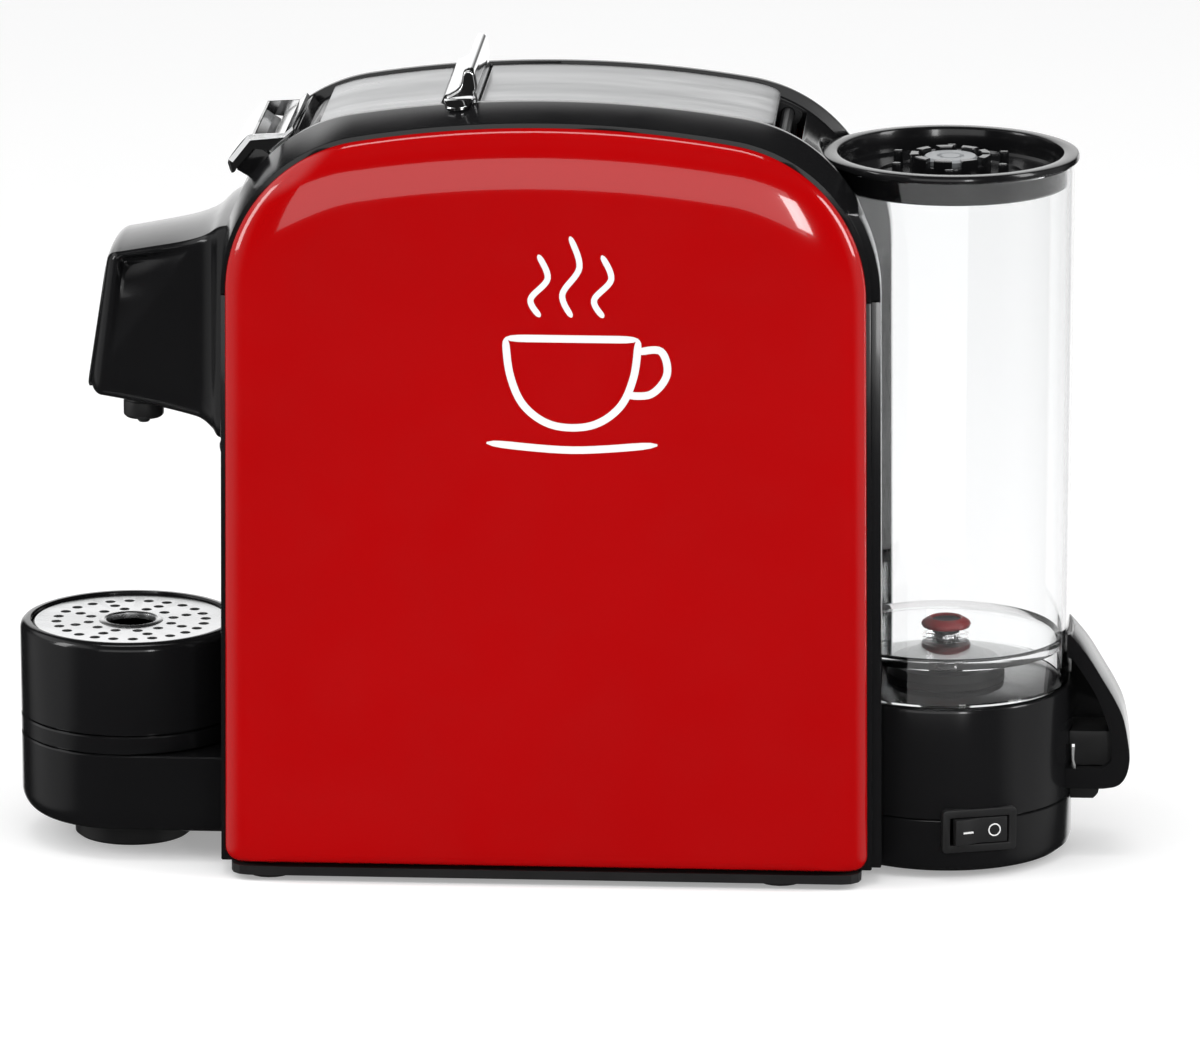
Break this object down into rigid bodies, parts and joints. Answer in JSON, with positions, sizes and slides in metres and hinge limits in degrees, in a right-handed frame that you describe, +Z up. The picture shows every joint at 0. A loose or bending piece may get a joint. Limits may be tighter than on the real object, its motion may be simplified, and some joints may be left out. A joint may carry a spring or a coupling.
{
  "type": "pod coffee machine",
  "caption": "Slim single-serve capsule coffee machine with arched red side panels, lift lever, spout over a round drip tray, clear lift-off water tank and power rocker.",
  "frame": {"origin": "on the worktop, under the middle of the whole machine's outline", "axes": "+X from the spout towards the water tank, +Y across to the far side panel, +Z up"},
  "size_m": [0.3599, 0.116, 0.2606],
  "materials": {
    "red_gloss": "high-gloss red moulding",
    "black_gloss": "polished black moulding",
    "black_satin": "satin black moulding",
    "silver_satin": "satin anodised",
    "chrome_trim": "bright chrome plating",
    "pearl_white": "pearl white",
    "steel_plain": "satin stainless steel",
    "clear_plastic": "clear",
    "red_seal": "red silicone",
    "grey_plastic": "grey",
    "rubber_black": "matt rubber",
    "coil_copper": "varnished winding",
    "board_green": "solder mask",
    "silicone_hose": "translucent silicone"
  },
  "bodies": {
    "body": {"top_casing": "black_gloss", "lower_casing": "black_gloss", "right_side_panel": "red_gloss", "left_side_panel": "red_gloss", "base_plate": "black_satin", "base_screw_1": "steel_plain", "base_screw_2": "steel_plain", "base_screw_3": "steel_plain", "base_screw_4": "steel_plain", "rubber_foot_1": "rubber_black", "rubber_foot_2": "rubber_black", "rubber_foot_3": "rubber_black", "rubber_foot_4": "rubber_black", "head_front_plate": "black_gloss", "brew_head": "black_gloss", "spout_nozzle": "black_satin", "spout_tip": "black_satin", "front_top_plate": "silver_satin", "button_bezel": "chrome_trim", "lever_pin": "steel_plain", "capsule_chute": "black_satin", "piston_guide": "black_satin", "boiler": "steel_plain", "pump_coil": "coil_copper", "pump_body": "black_satin", "control_board": "board_green", "board_relay": "black_satin", "inlet_hose": "silicone_hose", "pressure_hose": "silicone_hose", "boiler_outlet": "silicone_hose", "coffee_duct": "silicone_hose", "tray_foot": "black_satin", "tray_base": "black_gloss", "tray_ring": "black_gloss", "rocker_bezel": "black_satin", "tank_foot": "rubber_black", "tank_base_lower": "black_gloss", "tank_base_upper": "black_gloss", "rear_handle": "black_satin", "cord_outlet": "black_satin", "cord_gland": "black_satin", "tank_socket": "black_satin"},
    "lever": {"lever_plate": "silver_satin", "lever_grip": "chrome_trim", "lever_ear_right": "black_satin", "lever_ear_left": "black_satin"},
    "brewing_piston": {"brew_piston": "steel_plain", "piston_yoke": "steel_plain"},
    "button": {"start_button": "pearl_white"},
    "rocker": {"power_rocker": "black_satin"},
    "water_tank": {"tank_tube": "clear_plastic", "tank_floor": "clear_plastic"},
    "lid": {"tank_lid": "black_gloss", "lid_hub": "black_gloss", "lid_cap": "grey_plastic"},
    "valve": {"tank_valve": "red_seal"},
    "drawer": {"capsule_bin": "black_gloss"},
    "cup": {"drip_cup": "black_gloss"},
    "grille": {"drip_grille": "steel_plain"}
  },
  "joints": [
    {"name": "lever_hinge", "type": "hinge", "parent": "body", "child": "lever", "pos_m": [0.0675, 0, 0.2365], "axis": [0, 1, 0], "range_deg": [0, 80]},
    {"name": "piston_slide", "type": "slide", "parent": "body", "child": "brewing_piston", "axis": [-1, 0, 0], "range_m": [0, 0.014]},
    {"name": "button_press", "type": "slide", "parent": "body", "child": "button", "axis": [0.6639, 0, -0.7478], "range_m": [0, 0.0018], "stiffness_N_per_m": 250, "springref_m": -0.002},
    {"name": "rocker_tilt", "type": "hinge", "parent": "body", "child": "rocker", "pos_m": [0.13214, -0.03873, 0.0161], "axis": [0, 0, -1], "range_deg": [0, 16]},
    {"name": "tank_lift", "type": "slide", "parent": "body", "child": "water_tank", "axis": [0, 0, 1], "range_m": [0, 0.2]},
    {"name": "lid_lift", "type": "slide", "parent": "water_tank", "child": "lid", "axis": [0, 0, 1], "range_m": [0, 0.03]},
    {"name": "valve_lift", "type": "slide", "parent": "water_tank", "child": "valve", "axis": [0, 0, 1], "range_m": [0, 0.003]},
    {"name": "drawer_slide", "type": "slide", "parent": "body", "child": "drawer", "axis": [-1, 0, 0], "range_m": [0, 0.1]},
    {"name": "cup_slide", "type": "slide", "parent": "body", "child": "cup", "axis": [-1, 0, 0], "range_m": [0, 0.11]},
    {"name": "grille_lift", "type": "slide", "parent": "cup", "child": "grille", "axis": [0, 0, 1], "range_m": [0, 0.03]}
  ],
  "couplings": [
    {"joint": "piston_slide", "follows": "lever_hinge", "m_per_rad": 0.01}
  ]
}
